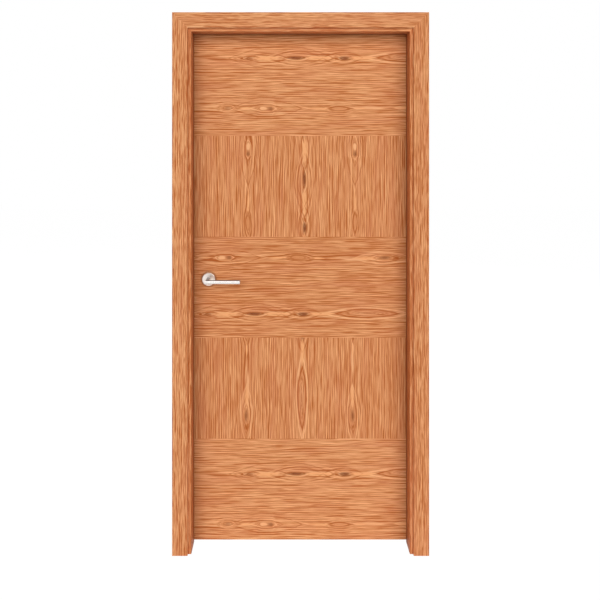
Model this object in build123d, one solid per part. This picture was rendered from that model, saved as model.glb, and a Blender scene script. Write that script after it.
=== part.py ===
from build123d import *
import os

# Interior door set: a flush leaf faced with five veneer bands, hung in a mitred rebated frame.
# Frame: +Z up, +X from the latch side to the hinge side, the side with the deep reveal faces -Y.
# The origin is on the outer face of the hinge jamb, at floor level, on the middle plane of the wall.
# The leaf opens towards +Y. All sizes are millimetres.

# Leaf
leaf_width = 864.0
leaf_height = 2032.0
leaf_thickness = 35.0
face_board = 4.0  # veneered board on each face
edge_lipping = 6.0  # solid timber strip on each long edge
band_names = ("bottom", "lower", "middle", "upper", "top")  # equal bands of veneer in the part that shows
leaf_arris = 0.8  # easing of the lippings' long edges

# Gaps round the closed leaf
floor_gap = 5.0
head_gap = 5.0
hinge_gap = 5.0
lock_gap = 6.2  # wider, because the front corner swings out by about a millimetre as the leaf opens
stop_gap = 5.0  # from the stop to the leaf's front face

# Frame members
wall_thickness = 110.0
jamb_thickness = 35.0
rebate_depth = 13.5
jamb_arris = 1.0

# Casings, the flat boards that cover the joint between frame and wall
casing_width = 60.0
casing_thickness = 10.0
casing_round = 2.0
front_margin = 13.0  # strip of jamb edge left bare inside the front casing
back_margin = 10.0

# Gasket in the stop
kerf_width = 2.5
kerf_depth = 6.0
kerf_setback = 3.0  # from the stop's edge to the kerf
gasket_bulb = 5.2  # width of the bulb on the stop's face
gasket_clearance = 0.5  # from the bulb to the closed leaf

# Butt hinges
hinge_length = 100.0
hinge_plate_width = 28.0
hinge_plate = 2.5
hinge_from_top = 200.0
hinge_from_bottom = 250.0
knuckle_radius = 6.5
knuckle_count = 5
knuckle_gap = 0.4
knuckle_offset = 8.0  # from the leaf's back face to the hinge axis
pin_radius = 3.0
pin_head = 3.0
pin_head_chamfer = 1.8
pin_clearance = 0.05
mortise_clearance = 0.2

# Lock
handle_height = 1050.0
backset = 65.0
latch_rise = 22.0  # from the spindle up to the latch
forend_length = 235.0
forend_width = 20.0
forend_thickness = 3.0
latch_height = 20.0
latch_width = 12.0
latch_clearance = 0.3
latch_proud = 0.8
strike_length = 170.0
strike_width = 24.0
strike_thickness = 2.0
strike_corner = 6.0
strike_hole_margin = 2.5
latch_pocket = 14.0  # depth of the hollow behind the strike plate

# Lever handles
rose_radius = 26.0
rose_thickness = 9.0
rose_chamfer = 1.5
lever_radius = 8.0
lever_reach = 55.0  # from the leaf's face to the middle of the grip
lever_length = 130.0  # from the spindle to the grip's end
lever_end_chamfer = 0.8
neck_clearance = 0.1
neck_depth = 3.0  # how far the neck enters the leaf
spindle_bore = 10.0  # radius of the hole through the leaf
spindle_side = 8.0
spindle_socket = 15.0

# Places worked out from the sizes
wall_front = -wall_thickness / 2
wall_back = wall_thickness / 2
leaf_back = wall_back
leaf_front = leaf_back - leaf_thickness
stop_back = leaf_front - stop_gap

opening_right = -jamb_thickness
rebate_right = opening_right + rebate_depth
leaf_right = rebate_right - hinge_gap
leaf_left = leaf_right - leaf_width
rebate_left = leaf_left - lock_gap
opening_left = rebate_left + rebate_depth

leaf_bottom = floor_gap
leaf_top = leaf_bottom + leaf_height
opening_head = leaf_top + head_gap - rebate_depth
band_height = (opening_head - leaf_bottom) / len(band_names)

leaf_middle = (leaf_front + leaf_back) / 2
core_left = leaf_left + edge_lipping
core_right = leaf_right - edge_lipping
spindle_x = leaf_left + backset
latch_z = handle_height + latch_rise

hinge_x = leaf_right + hinge_gap / 2
hinge_y = leaf_back + knuckle_offset
hinge_upper = leaf_top - hinge_from_top
hinge_lower = leaf_bottom + hinge_from_bottom
hinge_heights = {
    "upper": hinge_upper,
    "middle": (hinge_upper + hinge_lower) / 2,
    "lower": hinge_lower,
}

nodes = {}


def block(x, y, z):
    """A box from three (low, high) pairs."""
    size = [high - low for low, high in (x, y, z)]
    middle = [(low + high) / 2 for low, high in (x, y, z)]
    return Pos(*middle) * Box(*size)


# Frame members. A section is drawn once, with its x measured outward from the clear opening and
# its y through the wall. The same section makes both uprights and the head, mitred at 45 degrees.


def mitre(side):
    """The mitre plane at the head's right (+1) or left (-1) corner, facing the head."""
    corner = opening_right if side > 0 else opening_left
    return Plane(origin=(corner, 0, opening_head), x_dir=(0, 1, 0), z_dir=(-side, 0, 1))


def upright(section, reach, side):
    """An upright from the floor to the mitre, on the right (+1) or the left (-1)."""
    drawn = section if side > 0 else mirror(section, about=Plane.YZ)
    corner = opening_right if side > 0 else opening_left
    bar = Pos(corner, 0, 0) * extrude(drawn, amount=opening_head + reach + casing_width)
    return split(bar, bisect_by=mitre(side), keep=Keep.BOTTOM)


def head(section, reach):
    """The head member between the two mitres."""
    start = Plane(origin=(opening_right + reach, 0, opening_head), x_dir=(0, 0, 1), z_dir=(-1, 0, 0))
    bar = extrude(start * section, amount=opening_right - opening_left + 2 * reach, dir=(-1, 0, 0))
    for side in (1, -1):
        bar = split(bar, bisect_by=mitre(side), keep=Keep.TOP)
    return bar


def jamb_section():
    """Rebated section: the stop in front, the leaf's seat behind it, and the gasket's kerf."""
    outline = Polyline(
        (0, wall_front),
        (jamb_thickness, wall_front),
        (jamb_thickness, wall_back),
        (rebate_depth, wall_back),
        (rebate_depth, stop_back),
        (kerf_setback + kerf_width, stop_back),
        (kerf_setback + kerf_width, stop_back - kerf_depth),
        (kerf_setback, stop_back - kerf_depth),
        (kerf_setback, stop_back),
        (0, stop_back),
        close=True,
    )
    section = make_face(outline)
    front_arris = section.vertices().sort_by(Axis.X).sort_by(Axis.Y)[0]
    return fillet(front_arris, jamb_arris)


def casing_section(margin, wall_face, outward):
    """A flat board on a wall face, with its two outer arrises rounded."""
    face = wall_face + outward * casing_thickness
    board = Pos(margin + casing_width / 2, (wall_face + face) / 2) * Rectangle(casing_width, casing_thickness)
    arrises = board.vertices().group_by(Axis.Y)[-1 if outward > 0 else 0]
    return fillet(arrises, casing_round)


def gasket_section():
    """A stem in the kerf and a round bulb that the closed leaf meets."""
    middle = kerf_setback + kerf_width / 2
    half = gasket_bulb / 2
    stem = Pos(middle, stop_back - kerf_depth / 2) * Rectangle(kerf_width, kerf_depth)
    crown = (middle, leaf_front - gasket_clearance)
    foot = ((middle - half, stop_back), (middle + half, stop_back))
    bulb = make_face([ThreePointArc(foot[0], crown, foot[1]), Line(foot[1], foot[0])])
    return stem + bulb


def frame_set(name, section, reach):
    """Both uprights and the head of one frame member, added to the nodes."""
    nodes[f"{name}_latch_side"] = upright(section, reach, -1)
    nodes[f"{name}_hinge_side"] = upright(section, reach, 1)
    nodes[f"{name}_head"] = head(section, reach)


# Butt hinges


def hinge_plate_solid(side, z, clearance=0.0):
    """A plate let into the jamb (+1) or into the leaf's edge (-1), flush with its surface."""
    width = hinge_plate_width + clearance
    outline = Plane.YZ * Pos(leaf_back - width / 2, z) * Rectangle(width, hinge_length + 2 * clearance)
    face = rebate_right if side > 0 else leaf_right
    return Pos(face, 0, 0) * extrude(outline, amount=hinge_plate, dir=(side, 0, 0))


def knuckles(side, z):
    """The knuckles of one hinge leaf, with the tabs that join them to its plate."""
    pitch = (hinge_length + knuckle_gap) / knuckle_count
    first = 0 if side > 0 else 1
    face = rebate_right if side > 0 else leaf_right
    tab_x = sorted((face, face + side * hinge_plate))
    made = []
    for n in range(first, knuckle_count, 2):
        low = z - hinge_length / 2 + n * pitch
        high = low + pitch - knuckle_gap
        barrel = Pos(hinge_x, hinge_y, (low + high) / 2) * Cylinder(knuckle_radius, high - low)
        tab = block(tab_x, (leaf_back, hinge_y - pin_radius), (low, high))
        made.append(barrel + tab)
    return made


def hinge_leaf(side, z):
    """One hinge leaf: plate, tabs and knuckles, bored for the pin."""
    bore = Pos(hinge_x, hinge_y, z) * Cylinder(pin_radius + pin_clearance, 2 * hinge_length)
    return hinge_plate_solid(side, z) + knuckles(side, z) - bore


def hinge_pin(z):
    """A loose pin: a bevelled head rests on the top knuckle, and the foot ends flush with the lowest."""
    half = hinge_length / 2
    top = half + pin_head
    profile = Polyline(
        (0, top),
        (knuckle_radius - pin_head_chamfer, top),
        (knuckle_radius, top - pin_head_chamfer),
        (knuckle_radius, half),
        (pin_radius, half),
        (pin_radius, -half),
        (0, -half),
        close=True,
    )
    section = Plane.XZ * make_face(profile)
    return Pos(hinge_x, hinge_y, z) * revolve(section, axis=Axis.Z)


def hinge_mortises(side):
    """The recesses for every plate on the jamb (+1) or on the leaf (-1)."""
    return [hinge_plate_solid(side, z, mortise_clearance) for z in hinge_heights.values()]


# Leaf


def lipping(x, eased_x):
    """A full-thickness strip on one long edge, with its two outer arrises eased."""
    strip = block(x, (leaf_front, leaf_back), (leaf_bottom, leaf_top))
    arrises = strip.edges().filter_by(Axis.Z).filter_by_position(Axis.X, eased_x, eased_x)
    return fillet(arrises, leaf_arris)


def spindle_hole():
    """The hole through the leaf for the spindle and the necks of the levers."""
    hole = Cylinder(spindle_bore, 2 * leaf_thickness, rotation=(90, 0, 0))
    return Pos(spindle_x, leaf_middle, handle_height) * hole


def face_bands(side_name, y):
    """Veneered boards on one face. The top one runs on behind the stop to the leaf's top edge."""
    joints = [leaf_bottom + n * band_height for n in range(len(band_names))] + [leaf_top]
    for name, low, high in zip(band_names, joints, joints[1:]):
        board = block((core_left, core_right), y, (low, high))
        nodes[f"{side_name}_band_{name}"] = board - spindle_hole()


# Lock


def stadium(length, width, x, z):
    """A plate outline with round ends, standing in the YZ plane at the leaf's middle."""
    outline = Plane.YZ * Pos(leaf_middle, z) * Rot(0, 0, 90) * SlotOverall(length, width)
    return Pos(x, 0, 0) * outline


def forend_plate(grow=0.0):
    """The lock's face plate, let into the leaf's latch edge."""
    outline = stadium(forend_length + 2 * grow, forend_width + 2 * grow, leaf_left, latch_z)
    return extrude(outline, amount=forend_thickness, dir=(1, 0, 0))


def latch_window(x, grow=0.0):
    """A square hole for the latch, across the given x range."""
    half_y = latch_width / 2 + grow
    half_z = latch_height / 2 + grow
    return block(x, (leaf_middle - half_y, leaf_middle + half_y), (latch_z - half_z, latch_z + half_z))


def latch_bolt():
    """The latch, drawn back: its nose is bevelled towards the side that the door closes from."""
    nose = leaf_left - latch_proud
    low, high = leaf_middle - latch_width / 2, leaf_middle + latch_width / 2
    profile = Polyline(
        (nose, low),
        (nose, leaf_middle),
        (leaf_left + forend_thickness, high),
        (core_left, high),
        (core_left, low),
        close=True,
    )
    return Pos(0, 0, latch_z - latch_height / 2) * extrude(make_face(profile), amount=latch_height)


def strike_solid(grow=0.0):
    """The strike plate, flush in the latch jamb's rebate, running back to the jamb's edge."""
    width = leaf_back - leaf_middle + strike_width / 2 + grow
    outline = Plane.YZ * Pos(leaf_back - width / 2, latch_z) * Rectangle(width, strike_length + 2 * grow)
    outline = fillet(outline.vertices().group_by(Axis.Y)[0], strike_corner)
    return Pos(rebate_left, 0, 0) * extrude(outline, amount=strike_thickness, dir=(-1, 0, 0))


# Lever handles


def rose(face, outward):
    """A round rose on a face of the leaf, bored for the lever's neck."""
    plate = Cylinder(rose_radius, rose_thickness, rotation=(90, 0, 0))
    plate = Pos(spindle_x, face + outward * rose_thickness / 2, handle_height) * plate
    rim = plate.edges().filter_by(GeomType.CIRCLE).sort_by(Axis.Y)[-1 if outward > 0 else 0]
    bore = Cylinder(lever_radius + neck_clearance, 4 * rose_thickness, rotation=(90, 0, 0))
    return chamfer(rim, rose_chamfer) - Pos(spindle_x, face, handle_height) * bore


def lever(face, outward):
    """A round bar mitred into an L: the neck comes out of the rose, the grip runs to the hinge side."""
    root = (spindle_x, face - outward * neck_depth, handle_height)
    elbow = (spindle_x, face + outward * lever_reach, handle_height)
    tip = (spindle_x + lever_length, face + outward * lever_reach, handle_height)
    path = Polyline(root, elbow, tip)
    section = Plane(origin=root, z_dir=(0, outward, 0)) * Circle(lever_radius)
    bar = sweep(section, path=path, transition=Transition.RIGHT)
    end = bar.edges().filter_by(GeomType.CIRCLE).sort_by(Axis.X)[-1]
    bar = chamfer(end, lever_end_chamfer)
    return bar - spindle()


def spindle():
    """The square bar that joins the two levers through the leaf."""
    reach = leaf_thickness / 2 - neck_depth + spindle_socket
    half = spindle_side / 2
    return block(
        (spindle_x - half, spindle_x + half),
        (leaf_middle - reach, leaf_middle + reach),
        (handle_height - half, handle_height + half),
    )


def build_frame():
    frame_set("jamb", jamb_section(), jamb_thickness)
    for recess in hinge_mortises(1):
        nodes["jamb_hinge_side"] -= recess
    pocket_x = (rebate_left - strike_thickness - latch_pocket, rebate_left)
    nodes["jamb_latch_side"] -= strike_solid(mortise_clearance)
    nodes["jamb_latch_side"] -= latch_window(pocket_x, strike_hole_margin)
    frame_set("front_casing", casing_section(front_margin, wall_front, -1), front_margin + casing_width)
    back_setback = rebate_depth + back_margin
    frame_set("back_casing", casing_section(back_setback, wall_back, 1), back_setback + casing_width)
    frame_set("gasket", gasket_section(), kerf_setback + kerf_width + gasket_bulb)
    plate_x = (rebate_left - strike_thickness, rebate_left)
    nodes["strike_plate"] = strike_solid() - latch_window(plate_x, strike_hole_margin)


def build_hinges():
    for name, z in hinge_heights.items():
        nodes[f"{name}_hinge_frame_leaf"] = hinge_leaf(1, z)
        nodes[f"{name}_hinge_door_leaf"] = hinge_leaf(-1, z)
        nodes[f"{name}_hinge_pin"] = hinge_pin(z)


def build_leaf():
    core_y = (leaf_front + face_board, leaf_back - face_board)
    nodes["leaf_core"] = block((core_left, core_right), core_y, (leaf_bottom, leaf_top)) - spindle_hole()
    hinge_strip = lipping((core_right, leaf_right), leaf_right)
    for recess in hinge_mortises(-1):
        hinge_strip -= recess
    nodes["hinge_edge_lipping"] = hinge_strip
    lock_strip = lipping((leaf_left, core_left), leaf_left)
    lock_strip -= forend_plate(mortise_clearance)
    nodes["lock_edge_lipping"] = lock_strip - latch_window((leaf_left, core_left), latch_clearance)
    face_bands("front", (leaf_front, leaf_front + face_board))
    face_bands("back", (leaf_back - face_board, leaf_back))


def build_lock():
    plate_x = (leaf_left, leaf_left + forend_thickness)
    nodes["lock_forend"] = forend_plate() - latch_window(plate_x, latch_clearance)
    nodes["latch_bolt"] = latch_bolt()
    nodes["front_rose"] = rose(leaf_front, -1)
    nodes["back_rose"] = rose(leaf_back, 1)
    nodes["front_lever"] = lever(leaf_front, -1)
    nodes["back_lever"] = lever(leaf_back, 1)
    nodes["handle_spindle"] = spindle()


build_frame()
build_hinges()
build_leaf()
build_lock()

os.makedirs("parts", exist_ok=True)
for node_name, shape in nodes.items():
    export_step(shape, f"parts/{node_name}.step")
    print(node_name, round(shape.volume))
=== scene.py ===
import math

import bmesh
import bpy
from mathutils import Matrix, Vector


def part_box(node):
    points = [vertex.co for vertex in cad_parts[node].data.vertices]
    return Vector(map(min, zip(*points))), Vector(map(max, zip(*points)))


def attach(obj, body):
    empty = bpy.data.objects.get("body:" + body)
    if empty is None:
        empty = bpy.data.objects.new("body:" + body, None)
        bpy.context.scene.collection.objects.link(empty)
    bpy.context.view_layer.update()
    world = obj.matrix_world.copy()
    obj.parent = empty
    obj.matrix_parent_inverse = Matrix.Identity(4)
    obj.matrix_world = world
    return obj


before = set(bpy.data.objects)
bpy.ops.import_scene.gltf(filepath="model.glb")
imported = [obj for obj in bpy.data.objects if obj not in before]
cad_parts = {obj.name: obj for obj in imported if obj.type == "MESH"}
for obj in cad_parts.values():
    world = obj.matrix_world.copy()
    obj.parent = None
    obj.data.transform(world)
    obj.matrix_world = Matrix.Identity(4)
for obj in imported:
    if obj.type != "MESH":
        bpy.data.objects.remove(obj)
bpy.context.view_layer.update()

print("frame loaded:", len(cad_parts), "nodes")


def shade(red, green, blue):  # a screen colour, 0 to 255, as the renderer's linear colour
    def linear(level):
        level = level / 255
        return level / 12.92 if level <= 0.04045 else ((level + 0.055) / 1.055) ** 2.4
    return (linear(red), linear(green), linear(blue), 1.0)

white = (1.0, 1.0, 1.0, 1.0)


class Value:
    # one socket of a finish; arithmetic on it adds Math nodes

    def __init__(self, finish, socket):
        self.finish = finish
        self.socket = socket

    def out(self, name):  # another output of the same node
        return Value(self.finish, self.socket.node.outputs[name])

    def maths(self, operation, *others):
        return self.finish.maths(operation, self, *others)

    def __add__(self, other):
        return self.maths("ADD", other)

    def __radd__(self, other):
        return self.finish.maths("ADD", other, self)

    def __sub__(self, other):
        return self.maths("SUBTRACT", other)

    def __rsub__(self, other):
        return self.finish.maths("SUBTRACT", other, self)

    def __mul__(self, other):
        return self.maths("MULTIPLY", other)

    def __rmul__(self, other):
        return self.finish.maths("MULTIPLY", other, self)

    def __truediv__(self, other):
        return self.maths("DIVIDE", other)

    def __pow__(self, other):
        return self.maths("POWER", other)

    def __rpow__(self, other):
        return self.finish.maths("POWER", other, self)

    def __abs__(self):
        return self.maths("ABSOLUTE")


class Nodes:
    # a node tree, with the calls that add to it

    def __init__(self, tree):
        self.tree = tree

    def plug(self, socket, value):
        if isinstance(value, Value):
            self.tree.links.new(value.socket, socket)
        else:
            socket.default_value = value

    def node(self, kind, settings=None, sockets=None, out=0):
        made = self.tree.nodes.new(kind)
        for key, value in (settings or {}).items():
            if key == "stops":
                self.setStops(made.color_ramp, value)
            else:
                setattr(made, key, value)
        for key, value in (sockets or {}).items():
            self.plug(made.inputs[key], value)
        return Value(self, made.outputs[out])

    def setStops(self, ramp, stops):
        while len(ramp.elements) < len(stops):
            ramp.elements.new(0.5)
        for element, (place, colour) in zip(ramp.elements, stops):
            element.position = place
            element.color = colour

    def maths(self, operation, *terms):
        return self.node("ShaderNodeMath", {"operation": operation}, dict(enumerate(terms)))

    def place(self):  # the point on the object, in metres
        return self.node("ShaderNodeTexCoord", out="Object")

    def split(self, vector):
        parts = self.node("ShaderNodeSeparateXYZ", None, {0: vector})
        return parts, parts.out("Y"), parts.out("Z")

    def join(self, x, y, z):
        return self.node("ShaderNodeCombineXYZ", None, {0: x, 1: y, 2: z})

    def noise(self, vector, scale, detail, roughness=0.5):
        return self.node("ShaderNodeTexNoise", None, {
            "Vector": vector, "Scale": scale, "Detail": detail, "Roughness": roughness})

    def streaks(self, x, y, z, detail=0.0, roughness=0.5):  # noise, drawn out by the caller
        return self.noise(self.join(x, y, z), 1.0, detail, roughness)

    def fade(self, value, low, high, first=0.0, last=1.0):  # smooth step from first to last
        return self.node("ShaderNodeMapRange", {"interpolation_type": "SMOOTHSTEP"}, {
            0: value, 1: low, 2: high, 3: first, 4: last})

    def ramp(self, value, stops):
        return self.node("ShaderNodeValToRGB", {"stops": stops}, {0: value})

    def mix(self, factor, first, second):
        return self.node("ShaderNodeMix", {"data_type": "RGBA"}, {0: factor, 6: first, 7: second}, out=2)


class Finish(Nodes):
    # one material

    def __init__(self, name):
        self.material = bpy.data.materials.new(name)
        self.material.use_nodes = True
        super().__init__(self.material.node_tree)
        self.shader = self.tree.nodes["Principled BSDF"]

    def set(self, **sockets):  # Base_Color stands for "Base Color"
        for key, value in sockets.items():
            self.plug(self.shader.inputs[key.replace("_", " ")], value)

    def bump(self, height, strength, distance):
        self.set(Normal=self.node("ShaderNodeBump", None, {
            "Height": height, "Strength": strength, "Distance": distance}))


# Wood. Figures are the dark eyes, light flames and long rings that run in two rows along the veneer.
wood = {
    "light": shade(239, 178, 127),
    "middle": shade(209, 138, 88),
    "dark": shade(173, 90, 40),
    "heart": shade(110, 48, 20),
    "flame": shade(233, 157, 97),
    "pink": shade(203, 123, 86),
    # painted shade colour, used along the leaf's long edges and round the rose
    "paintedShade": shade(122, 82, 58),
    # painted shade colour for the corner where the leaf closes
    "corner": shade(116, 56, 22),
    "jambRevealShade": 0.18,  # painted shade: how much darker the jambs are within the opening
    # the same painted shade on the head jamb
    "headRevealShade": 0.05,
    "roughness": 0.55,
    "specular": 0.14,
    "period": 0.427,  # from one row A to the next, across the grain
    "rowGap": 0.2025,  # from row A to row B
    "flameHalf": 0.0125,  # half height of the contours between the eyes
    "levelContrast": 0.93,
    "uprightContrast": 0.83,
    "memberContrast": 0.94,
    "rimWidth": 0.06,  # painted shade: the leaf's long edges are darker over this width
    "rimShade": 0.05,
    "stripWidth": 0.14,  # and carry a wider strip of painted shade over this one
    "stripShade": 0.11,
    "backAlong": 0.31,  # how far the veneer is shifted on the back face
    "backAcross": 0.12,
}

# Eyes of each row: place along the grain, reach along it, and how dark the heart is (below 0 it is light)
eyes = {
    "A": [(-0.187, 0.045, 0.45), (0.0, 0.062, 1.0), (0.192, 0.046, 0.95), (0.449, 0.110, 0.12)],
    "B": [(-0.276, 0.030, 0.45), (-0.134, 0.024, -1.0), (-0.106, 0.018, 1.0), (0.172, 0.050, 0.0),
          (0.520, 0.045, 0.75)],
}

# Light flames between the eyes: place along the grain, half length, half height
flames = {
    "A": [(-0.122, 0.064, 0.0135), (0.090, 0.056, 0.0095), (0.262, 0.060, 0.0105), (0.72, 0.06, 0.006)],
    "B": [(-0.20, 0.03, 0.004), (0.09, 0.05, 0.006), (0.255, 0.030, 0.005), (0.44, 0.060, 0.008)],
}

# Lines with pointed ends round the eyes: place along the grain, half length, half height, and how dark
# (below 0 it is light)
outlines = {
    "A": [(0.449, 0.125, 0.0165, 1.3), (0.449, 0.175, 0.0225, -1.1), (0.0, 0.105, 0.026, 0.7),
          (-0.06, 0.21, 0.046, 0.6), (0.186, 0.08, 0.022, 0.7), (-0.120, 0.085, 0.0175, 0.8),
          (0.03, 0.16, 0.034, -0.6)],
    "B": [(0.172, 0.046, 0.0085, 0.75), (-0.125, 0.07, 0.016, 0.4), (-0.12, 0.14, 0.034, 0.6),
          (0.515, 0.075, 0.016, 0.6), (0.515, 0.12, 0.022, -0.7), (-0.11, 0.16, 0.021, -0.6)],
}

# Lines of the grain: dark rings and pale lines in a metre, how far their spacing bends, and each kind's share
grainLines = {
    "rings": 118,
    "ringBend": 2.2,
    "ringShare": 0.51,
    "pale": 150,
    "paleBend": 2.5,
    "paleShare": 0.465,
    "broadShare": 0.12,
    "thinShare": 1.25,
    "level": 0.010,  # taken off, so that the middle tone stays in the middle
}


def fibres(finish, along, across, depth):
    # streaks of several widths that all run with the grain; returns the tone about 0, and the pores
    broad = finish.streaks(along * 3, across * 60, depth * 60, 2.0, 0.55)
    bend = finish.streaks(along * 2.6, across * 40, depth * 40 + 3, 1.0)
    strong = finish.streaks(along * 9.5, across * 190, depth * 190 + 5)
    thin = finish.streaks(along * 20, across * 850, depth * 850, 1.0)
    pores = finish.streaks(along * 55, across * 2600, depth * 2600, 1.0)
    ringTurns = across * grainLines["rings"] + bend * grainLines["ringBend"]
    paleTurns = across * grainLines["pale"] - bend * grainLines["paleBend"] + 0.3
    rings = (ringTurns * (2 * math.pi)).maths("COSINE")
    pale = (paleTurns * (2 * math.pi)).maths("COSINE")
    # a line is dark where strong is high and pale where it is low
    dark = finish.fade(rings, 0.2, 0.95) * finish.fade(strong, 0.34, 0.64)
    light = finish.fade(pale, 0.2, 0.95) * finish.fade(strong, 0.62, 0.34)
    tone = light * grainLines["paleShare"] - dark * grainLines["ringShare"]
    tone = tone + (broad - 0.5) * grainLines["broadShare"] + (thin - 0.5) * grainLines["thinShare"]
    tone = tone - grainLines["level"]
    return tone, finish.fade(pores, 0.62, 0.74)


def woodColour(finish, tone, pores, tint):
    base = finish.ramp(tone + 0.5, [(0.12, wood["dark"]), (0.5, wood["middle"]), (0.86, wood["light"])])
    base = finish.mix(finish.fade(tint, 0.42, 0.72) * 0.26, base, wood["pink"])
    return finish.mix(pores * 0.22, base, wood["dark"])


def lacquer(finish, colour, tone, pores):
    finish.set(Base_Color=colour, Roughness=wood["roughness"] + tone * 0.16 + pores * 0.12)
    finish.set(Specular_IOR_Level=wood["specular"])
    finish.bump(tone * 0.5 - pores, 0.12, 0.0004)
    return finish.material


leafLow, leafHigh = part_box("front_band_top")
leafMiddle = (leafLow[0] + leafHigh[0]) / 2
leafHalf = (leafHigh[0] - leafLow[0]) / 2
leafFront = leafLow[1]
leafInside = (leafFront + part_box("back_band_top")[1][1]) / 2  # halfway through the leaf
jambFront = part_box("jamb_head")[0][1]


def veneerFinish(name, upright, eyeX, eyeZ, lift, paintedShade=None):
    # the veneer of one band: eyeX and eyeZ place the darkest eye of row A on the front face; the last
    # argument, if given, is the rose's place, round which a ring of painted shadow goes
    finish = Finish(name)
    x, y, z = finish.split(finish.place())
    if upright:
        along, across = eyeZ - z, x - eyeX
    else:
        along, across = x - eyeX, eyeZ - z
    # the back face shows another stretch of the same veneer
    behind = finish.maths("GREATER_THAN", y, leafInside)
    along = along + behind * wood["backAlong"]
    across = across + behind * wood["backAcross"]
    wander = finish.streaks(along * 3.6, across * 16, 0.3, 1.5)
    across = across + (wander - 0.5) * 0.012
    rough = finish.streaks(along * 22, across * 130, 0.7, 2.0) - 0.5
    half = wood["period"] / 2
    rows = {"A": across, "B": across - wood["rowGap"]}
    flow, heart, flame, outline, calm = 1.0, 0.0, 0.0, 0.0, 1.0
    for row, offset in rows.items():
        if row == "B" or not upright:  # row A comes once across an upright band
            offset = offset.maths("WRAP", half, -half)
        dip, dark = 0.0, 0.0
        for place, reach, tone in eyes[row]:
            near = 0.37 ** (((along - place) / reach) ** 2)
            dip = dip + near
            dark = dark + near * tone
        # distance from the row's line, widened between the eyes, so that its contours close round each eye
        apart = 1 - dip.maths("MINIMUM", 1.0)
        contour = (offset * offset + apart * wood["flameHalf"] ** 2).maths("SQRT")
        flow = contour.maths("MINIMUM", flow)
        if row == "B":  # its eyes are small, with hardly a ring round them
            calm = finish.fade(contour, 0.006, 0.0125, 0.3, 1.0)
        heart = heart + finish.fade(contour + rough * 0.005, 0.0090, 0.0025) * dark
        away = abs(offset + rough * 0.005)
        for place, length, height in flames[row]:
            flame = flame + finish.fade(away / height + ((along - place) / length) ** 2, 1.2, 0.25)
        for place, length, height, strength in outlines[row]:
            edge = away / height + ((along - place) / length) ** 2
            outline = outline + finish.fade(abs(edge - 1.0), 0.0034 / height, 0.0006 / height) * strength
    # the grain runs on through the hearts and flames
    through = finish.streaks(along * 14, across * 420, 0.9, 1.0)
    heart = heart * finish.fade(through, 0.62, 0.36, 0.7, 1.25)
    flame = flame * finish.fade(through, 0.34, 0.62, 0.5, 1.2)
    grain, pores = fibres(finish, along, flow, across * 0.5 + y * 0.2)
    grain = grain * calm * wood["uprightContrast" if upright else "levelContrast"] + lift
    grain = grain * (1 - flame * 0.5) * (1 - abs(outline) * 0.5)
    grain = grain + flame * 0.42 - outline * 0.34 + heart.maths("MINIMUM", 0.0) * -0.9
    # painted shade: the long edges are a little darker than the middle
    fromMiddle = abs(x - leafMiddle)
    rim = finish.fade(fromMiddle, leafHalf - wood["rimWidth"], leafHalf)
    grain = grain - rim * wood["rimShade"]
    tint = finish.streaks(along * 3.2, across * 22, y, 2.0)
    colour = woodColour(finish, grain, pores, tint)
    colour = finish.mix(flame.maths("MINIMUM", 1.0) * 0.45, colour, wood["flame"])
    heart = heart.maths("MAXIMUM", 0.0).maths("MINIMUM", 1.0)
    colour = finish.mix(heart * 0.84, colour, wood["heart"])
    # painted shade: a wider strip along the long edges is mixed towards the shade colour
    strip = finish.fade(fromMiddle, leafHalf - wood["stripWidth"], leafHalf)
    colour = finish.mix(strip * wood["stripShade"], colour, wood["paintedShade"])
    if paintedShade:  # painted shadow: the wood is darkened in a ring round the rose
        fromRose = ((x - paintedShade[0]) ** 2 + (z - paintedShade[1]) ** 2).maths("SQRT")
        colour = finish.mix(finish.fade(fromRose, 0.037, 0.028) * 0.6, colour, wood["paintedShade"])
    return lacquer(finish, colour, grain, pores)


def memberFinish(name, level, lift, revealShade=0.0):
    # straight veneer along one frame member; the last argument is how much painted shade darkens it within
    # the opening
    finish = Finish(name)
    x, y, z = finish.split(finish.place())
    along, across = (x, z) if level else (z, x)
    wander = finish.streaks(along * 4, across * 14, y * 14, 2.0)
    across = across + y + (wander - 0.5) * 0.011
    grain, pores = fibres(finish, along * 1.7, across, y)
    grain = grain * wood["memberContrast"] + lift
    # painted shade: the faces within the opening are darker
    if revealShade:
        grain = grain - finish.fade(y, jambFront + 0.0005, jambFront + 0.004, revealShade * 0.6, revealShade)
    tint = finish.streaks(along * 1.6, across * 26, y * 26, 2.0)
    colour = woodColour(finish, grain, pores, tint)
    if revealShade:  # painted shade in the corner where the leaf closes
        corner = finish.fade(y, leafFront - 0.042, leafFront - 0.012)
        corner = corner * finish.fade(y, leafFront + 0.010, leafFront - 0.002)
        colour = finish.mix(corner * 0.75, colour, wood["corner"])
    return lacquer(finish, colour, grain, pores)


board = {
    "dark": shade(150, 110, 72),
    "middle": shade(196, 158, 112),
    "pale": shade(222, 192, 148),
    "chips": 420.0,  # in a metre
    "roughness": 0.8,
}


def boardFinish():
    # raw chipboard, seen on the leaf's top and bottom edges
    finish = Finish("chipboard")
    place = finish.place()
    sockets = {"Vector": place, "Scale": board["chips"]}
    chips = finish.node("ShaderNodeTexVoronoi", {"feature": "F1"}, sockets, out="Color")
    level = finish.split(chips)[0]
    dust = finish.noise(place, 900.0, 3.0, 0.6)
    tone = level * 0.7 + dust * 0.3
    colour = finish.ramp(tone, [(0.1, board["dark"]), (0.5, board["middle"]), (0.9, board["pale"])])
    finish.set(Base_Color=colour, Roughness=board["roughness"] + dust * 0.15)
    finish.bump(tone, 0.5, 0.0006)
    return finish.material


# Metal and rubber
steel = {
    "lever": shade(238, 234, 229),
    "rose": shade(255, 243, 234),
    "plate": shade(214, 206, 199),
    # painted shade and dark reflection on the lever's upward faces
    "topShadeColour": shade(140, 141, 143),
    "worn": 0.88,  # how bright the fine lines are beside the rest
}


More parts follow.
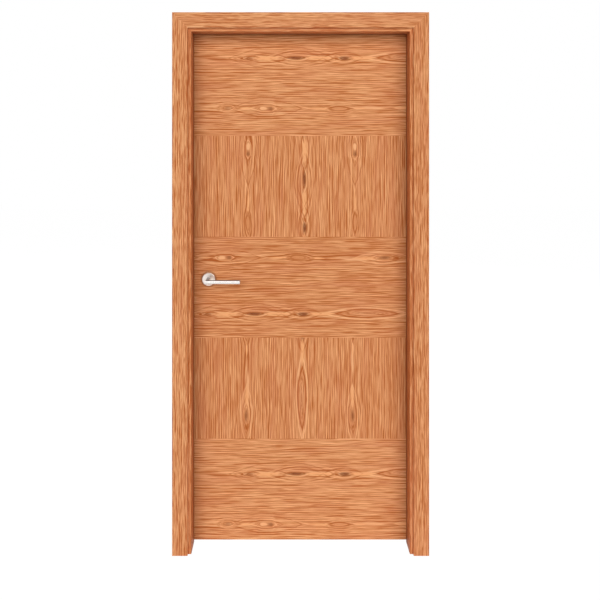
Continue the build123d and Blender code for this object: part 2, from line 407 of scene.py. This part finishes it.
def steelFinish(name, colour, roughness, stretch, shadedTop=0.0):
    # satin steel: fine lines along the stretched axis, faint smudges over them
    finish = Finish(name)
    x, y, z = finish.split(finish.place())
    lines = finish.streaks(x * stretch[0], y * stretch[1], z * stretch[2], 2.0, 0.6)
    smudge = finish.noise(finish.place(), 45.0, 3.0, 0.55)
    worn = [level * steel["worn"] for level in colour[:3]] + [1.0]
    colour = finish.mix(finish.fade(lines, 0.25, 0.75) * 0.5, colour, worn)
    roughness = roughness + (lines - 0.5) * 0.14 + (smudge - 0.5) * 0.12
    metallic = 1.0
    if shadedTop:  # painted shade and dark reflection: what faces up turns grey, less metallic and rougher
        upward = finish.split(finish.node("ShaderNodeTexCoord", out="Normal"))[2]
        topShadeMask = finish.fade(upward, 0.5, 0.72) * shadedTop
        colour = finish.mix(topShadeMask, colour, steel["topShadeColour"])
        metallic = 1 - topShadeMask * 0.75
        roughness = roughness + topShadeMask * 0.25
    finish.set(Base_Color=colour, Metallic=metallic, Roughness=roughness)
    finish.bump(lines, 0.03, 0.0001)
    return finish.material


rubber = {"dark": shade(66, 36, 22), "light": shade(92, 54, 34), "roughness": 0.6}


def rubberFinish():
    finish = Finish("sealing rubber")
    grit = finish.noise(finish.place(), 1500.0, 2.0, 0.6)
    colour = finish.ramp(grit, [(0.2, rubber["dark"]), (0.8, rubber["light"])])
    finish.set(Base_Color=colour, Roughness=rubber["roughness"] + grit * 0.2)
    finish.bump(grit, 0.15, 0.0002)
    return finish.material


def wear(nodes, material):
    for node in nodes:
        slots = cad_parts[node].data.materials
        slots.clear()
        slots.append(material)


# For each band: whether its grain is upright, where the darkest eye is on its front face (x, z in metres),
# and how much lighter the sheet is than the middle tone
bands = {
    "top": (False, -0.4741, 1.9358, 0.035),
    "upper": (True, -0.4420, 1.4474, 0.0),
    "middle": (False, -0.6397, 0.9097, -0.025),
    "lower": (True, -0.4500, 1.0215, -0.01),
    "bottom": (False, -0.4729, 0.2685, 0.06),
}
roseLow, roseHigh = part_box("front_rose")
rose = [(roseLow[0] + roseHigh[0]) / 2, (roseLow[2] + roseHigh[2]) / 2]
for band, (upright, eyeX, eyeZ, lift) in bands.items():
    paintedShade = rose if band == "middle" else None
    veneer = veneerFinish(f"veneer {band}", upright, eyeX, eyeZ, lift, paintedShade)
    wear([f"front_band_{band}", f"back_band_{band}"], veneer)

uprightWood = memberFinish("hinge side member", False, -0.03)
latchWood = memberFinish("latch side member", False, 0.03)
levelWood = memberFinish("head member", True, 0.04)
for casing in ("front_casing", "back_casing"):
    wear([f"{casing}_latch_side"], latchWood)
    wear([f"{casing}_hinge_side"], uprightWood)
    wear([f"{casing}_head"], levelWood)
wear(["jamb_latch_side", "jamb_hinge_side"], memberFinish("upright jamb", False, 0.0, wood["jambRevealShade"]))
wear(["jamb_head"], memberFinish("head jamb", True, 0.0, wood["headRevealShade"]))
wear(["hinge_edge_lipping", "lock_edge_lipping"], uprightWood)
wear(["leaf_core"], boardFinish())
wear(["gasket_latch_side", "gasket_hinge_side", "gasket_head"], rubberFinish())
leverSteel = steelFinish("lever steel", steel["lever"], 0.25, (8, 2200, 2200), 0.9)
roseSteel = steelFinish("rose steel", steel["rose"], 0.3, (2200, 2200, 2200))
plateSteel = steelFinish("plate steel", steel["plate"], 0.34, (2200, 2200, 60))
wear(["front_lever", "back_lever"], leverSteel)
wear(["front_rose", "back_rose"], roseSteel)
wear(["lock_forend", "latch_bolt", "strike_plate", "handle_spindle"], plateSteel)
for hinge in ("upper", "middle", "lower"):
    wear([f"{hinge}_hinge_frame_leaf", f"{hinge}_hinge_door_leaf", f"{hinge}_hinge_pin"], plateSteel)
print("finishes set:", len(bpy.data.materials), "materials")


# Countersunk screws with a cross recess
screw = {
    "radius": 0.0042,
    "proud": 0.0003,
    "sunk": 0.0004,
    "recess": 0.0016,
    "arm": 0.0027,
    "slotHalf": 0.00055,
    "steps": 24,
}


def screwHead(mesh, centre, facing, turn):
    # a slightly domed head; the cross is cut into it, with its own walls and floor
    axis = Vector(facing)
    side = Matrix.Rotation(turn, 3, axis) @ axis.orthogonal().normalized()
    over = axis.cross(side)

    def point(u, v, w):
        return mesh.verts.new(Vector(centre) + side * u + over * v + axis * w)

    steps = screw["steps"]
    turns = [2 * math.pi * n / steps for n in range(steps)]
    rings = []
    for share, height in ((1.0, -screw["sunk"]), (1.0, screw["proud"] * 0.35), (0.86, screw["proud"])):
        radius = share * screw["radius"]
        rings.append([point(math.cos(a) * radius, math.sin(a) * radius, height) for a in turns])
    for low, high in zip(rings, rings[1:]):
        for n in range(steps):
            mesh.faces.new((low[n], low[n - 1], high[n - 1], high[n]))
    arm, half = screw["arm"], screw["slotHalf"]
    cross = [(half, -arm), (half, -half), (arm, -half), (arm, half), (half, half), (half, arm),
             (-half, arm), (-half, half), (-arm, half), (-arm, -half), (-half, -half), (-half, -arm)]
    lip = [point(u, v, screw["proud"]) for u, v in cross]
    floor = [point(u * 0.8, v * 0.8, -screw["recess"]) for u, v in cross]
    for n in range(len(cross)):
        mesh.faces.new((lip[n], lip[n - 1], floor[n - 1], floor[n]))
    mesh.faces.new(floor)
    mesh.faces.new(list(reversed(rings[0])))
    loops = [mesh.edges.get((ring[n], ring[n - 1])) for ring in (rings[-1], lip) for n in range(len(ring))]
    bmesh.ops.triangle_fill(mesh, edges=loops, use_beauty=True)


screwSteel = steelFinish("screw steel", steel["lever"], 0.3, (900, 900, 900))


def screwSet(name, places, facing, body):
    mesh = bmesh.new()
    for n, place in enumerate(places):
        screwHead(mesh, place, facing, 0.6 * n + 0.35)
    bmesh.ops.recalc_face_normals(mesh, faces=mesh.faces)
    data = bpy.data.meshes.new(name)
    mesh.to_mesh(data)
    mesh.free()
    piece = bpy.data.objects.new(name, data)
    bpy.context.collection.objects.link(piece)
    data.materials.append(screwSteel)
    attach(piece, body)


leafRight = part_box("hinge_edge_lipping")[1][0]
hingeSpots = {"rows": (-0.038, -0.0127, 0.0127, 0.038), "nearEdge": 0.010, "farEdge": 0.019}
for hinge in ("upper", "middle", "lower"):
    pinLow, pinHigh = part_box(f"{hinge}_hinge_pin")
    plateLow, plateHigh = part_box(f"{hinge}_hinge_frame_leaf")
    middle = (plateLow[2] + plateHigh[2]) / 2
    seatX = pinLow[0] + pinHigh[0] - leafRight  # the jamb's face, as far past the pin as the leaf's edge
    spots = [(n, middle + rise) for n, rise in enumerate(hingeSpots["rows"])]
    columns = [plateLow[1] + hingeSpots["nearEdge" if n % 2 else "farEdge"] for n, rise in spots]
    onFrame = [(seatX, y, z) for y, (n, z) in zip(columns, spots)]
    onLeaf = [(leafRight, y, z) for y, (n, z) in zip(columns, spots)]
    screwSet(f"{hinge}_hinge_frame_screws", onFrame, (-1, 0, 0), "frame")
    screwSet(f"{hinge}_hinge_leaf_screws", onLeaf, (1, 0, 0), "leaf")

# For each pair: its plate, which corner of the plate's box is on its face, the way it faces, and its body
lockScrews = {
    "forend_screws": ("lock_forend", 0, (-1, 0, 0), "leaf"),
    "strike_screws": ("strike_plate", 1, (1, 0, 0), "frame"),
}
lockInset = 0.016  # from the plate's ends
latchLow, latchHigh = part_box("latch_bolt")
for name, (plate, corner, facing, body) in lockScrews.items():
    low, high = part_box(plate)
    x = (low, high)[corner][0]
    y = (latchLow[1] + latchHigh[1]) / 2
    screwSet(name, [(x, y, low[2] + lockInset), (x, y, high[2] - lockInset)], facing, body)
print("screws made")


# Floor, light and camera
studio = {
    "floor": shade(250, 250, 249),
    "floorGrain": shade(244, 244, 243),
    "floorGlow": 1.05,
    "floorSize": 9.0,
    "skyLight": 0.02,
    "keyPower": 3530.0,
    "keyWidth": 28.0,
    "keyTall": 13.0,
    "keyHeight": 6.8,
    "keyDistance": 16.0,
    "fillPower": 260.0,
}


def makeFloor():
    mesh = bmesh.new()
    bmesh.ops.create_grid(mesh, x_segments=24, y_segments=24, size=studio["floorSize"])
    data = bpy.data.meshes.new("floor")
    mesh.to_mesh(data)
    mesh.free()
    floor = bpy.data.objects.new("floor", data)
    floor.location = (-0.46, 2.0, 0.0)
    bpy.context.collection.objects.link(floor)
    finish = Finish("pale floor")
    grain = finish.noise(finish.place(), 30.0, 3.0, 0.5)
    finish.set(Base_Color=finish.mix(grain * 0.3, studio["floor"], studio["floorGrain"]), Roughness=0.7)
    # to the eye it runs into the white behind it; as a light it is only a pale floor
    glow = finish.node("ShaderNodeEmission", None, {"Color": white, "Strength": studio["floorGlow"]})
    rays = finish.node("ShaderNodeLightPath")
    shown = rays.out("Is Camera Ray").maths("MAXIMUM", rays.out("Is Glossy Ray"))
    both = finish.node("ShaderNodeMixShader", None, {0: shown * 0.94, 2: glow})
    finish.plug(both.socket.node.inputs[1], Value(finish, finish.shader.outputs[0]))
    finish.plug(finish.tree.nodes["Material Output"].inputs["Surface"], both)
    data.materials.append(finish.material)


def makeSky():
    # white to the eye, little light of its own, and in the metal's reflections brightest near the horizon
    world = bpy.data.worlds.new("studio")
    bpy.context.scene.world = world
    world.use_nodes = True
    sky = Nodes(world.node_tree)
    ahead, height = sky.split(sky.node("ShaderNodeTexCoord", out="Generated"))[1:]
    mirrored = sky.fade(height, 0.2, 0.45, 0.7, 2.2) * sky.fade(height, 0.75, 0.97, 1.0, 0.1)
    mirrored = mirrored * sky.fade(ahead, 0.1, -0.4, 0.3, 1.0)
    rays = sky.node("ShaderNodeLightPath")
    glossy, seen = rays.out("Is Glossy Ray"), rays.out("Is Camera Ray")
    strength = studio["skyLight"] * (1 - glossy) + mirrored * glossy
    background = world.node_tree.nodes["Background"]
    background.inputs["Color"].default_value = white
    sky.plug(background.inputs["Strength"], strength * (1 - seen) + seen)


def softbox(name, place, target, size, power):
    light = bpy.data.lights.new(name, "AREA")
    light.shape = "RECTANGLE"
    light.size, light.size_y = size
    light.energy = power
    lamp = bpy.data.objects.new(name, light)
    lamp.location = place
    lamp.rotation_euler = (Vector(target) - Vector(place)).to_track_quat("-Z", "Y").to_euler()
    lamp.visible_glossy = False
    bpy.context.collection.objects.link(lamp)


makeFloor()
makeSky()
casingLow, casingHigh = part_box("front_casing_head")
centreX = (casingLow[0] + casingHigh[0]) / 2
faceY = casingLow[1]
softbox("key", (centreX, faceY - studio["keyDistance"], studio["keyHeight"]), (centreX, faceY, 1.1),
        (studio["keyWidth"], studio["keyTall"]), studio["keyPower"])
softbox("fill", (centreX + 1.2, 4.5, 2.6), (centreX, 0.0, 1.0), (3.0, 3.0), studio["fillPower"])

# The photograph's eye: level, a little left of the door's middle, framed with a shift
eye = {
    "lens": 35.0,
    "sensor": 36.0,
    "distance": 2.254,
    "height": 1.615,
    "left": 0.0527,
    "shiftX": 0.0217,
    "shiftY": -0.27,
}
lens = bpy.data.cameras.new("eye")
lens.lens = eye["lens"]
lens.sensor_width = eye["sensor"]
lens.shift_x = eye["shiftX"]
lens.shift_y = eye["shiftY"]
camera = bpy.data.objects.new("eye", lens)
camera.location = (centreX - eye["left"], faceY - eye["distance"], eye["height"])
camera.rotation_euler = (math.pi / 2, 0.0, 0.0)
bpy.context.collection.objects.link(camera)
bpy.context.scene.camera = camera
bpy.context.scene.view_settings.view_transform = "Standard"
print("studio set")
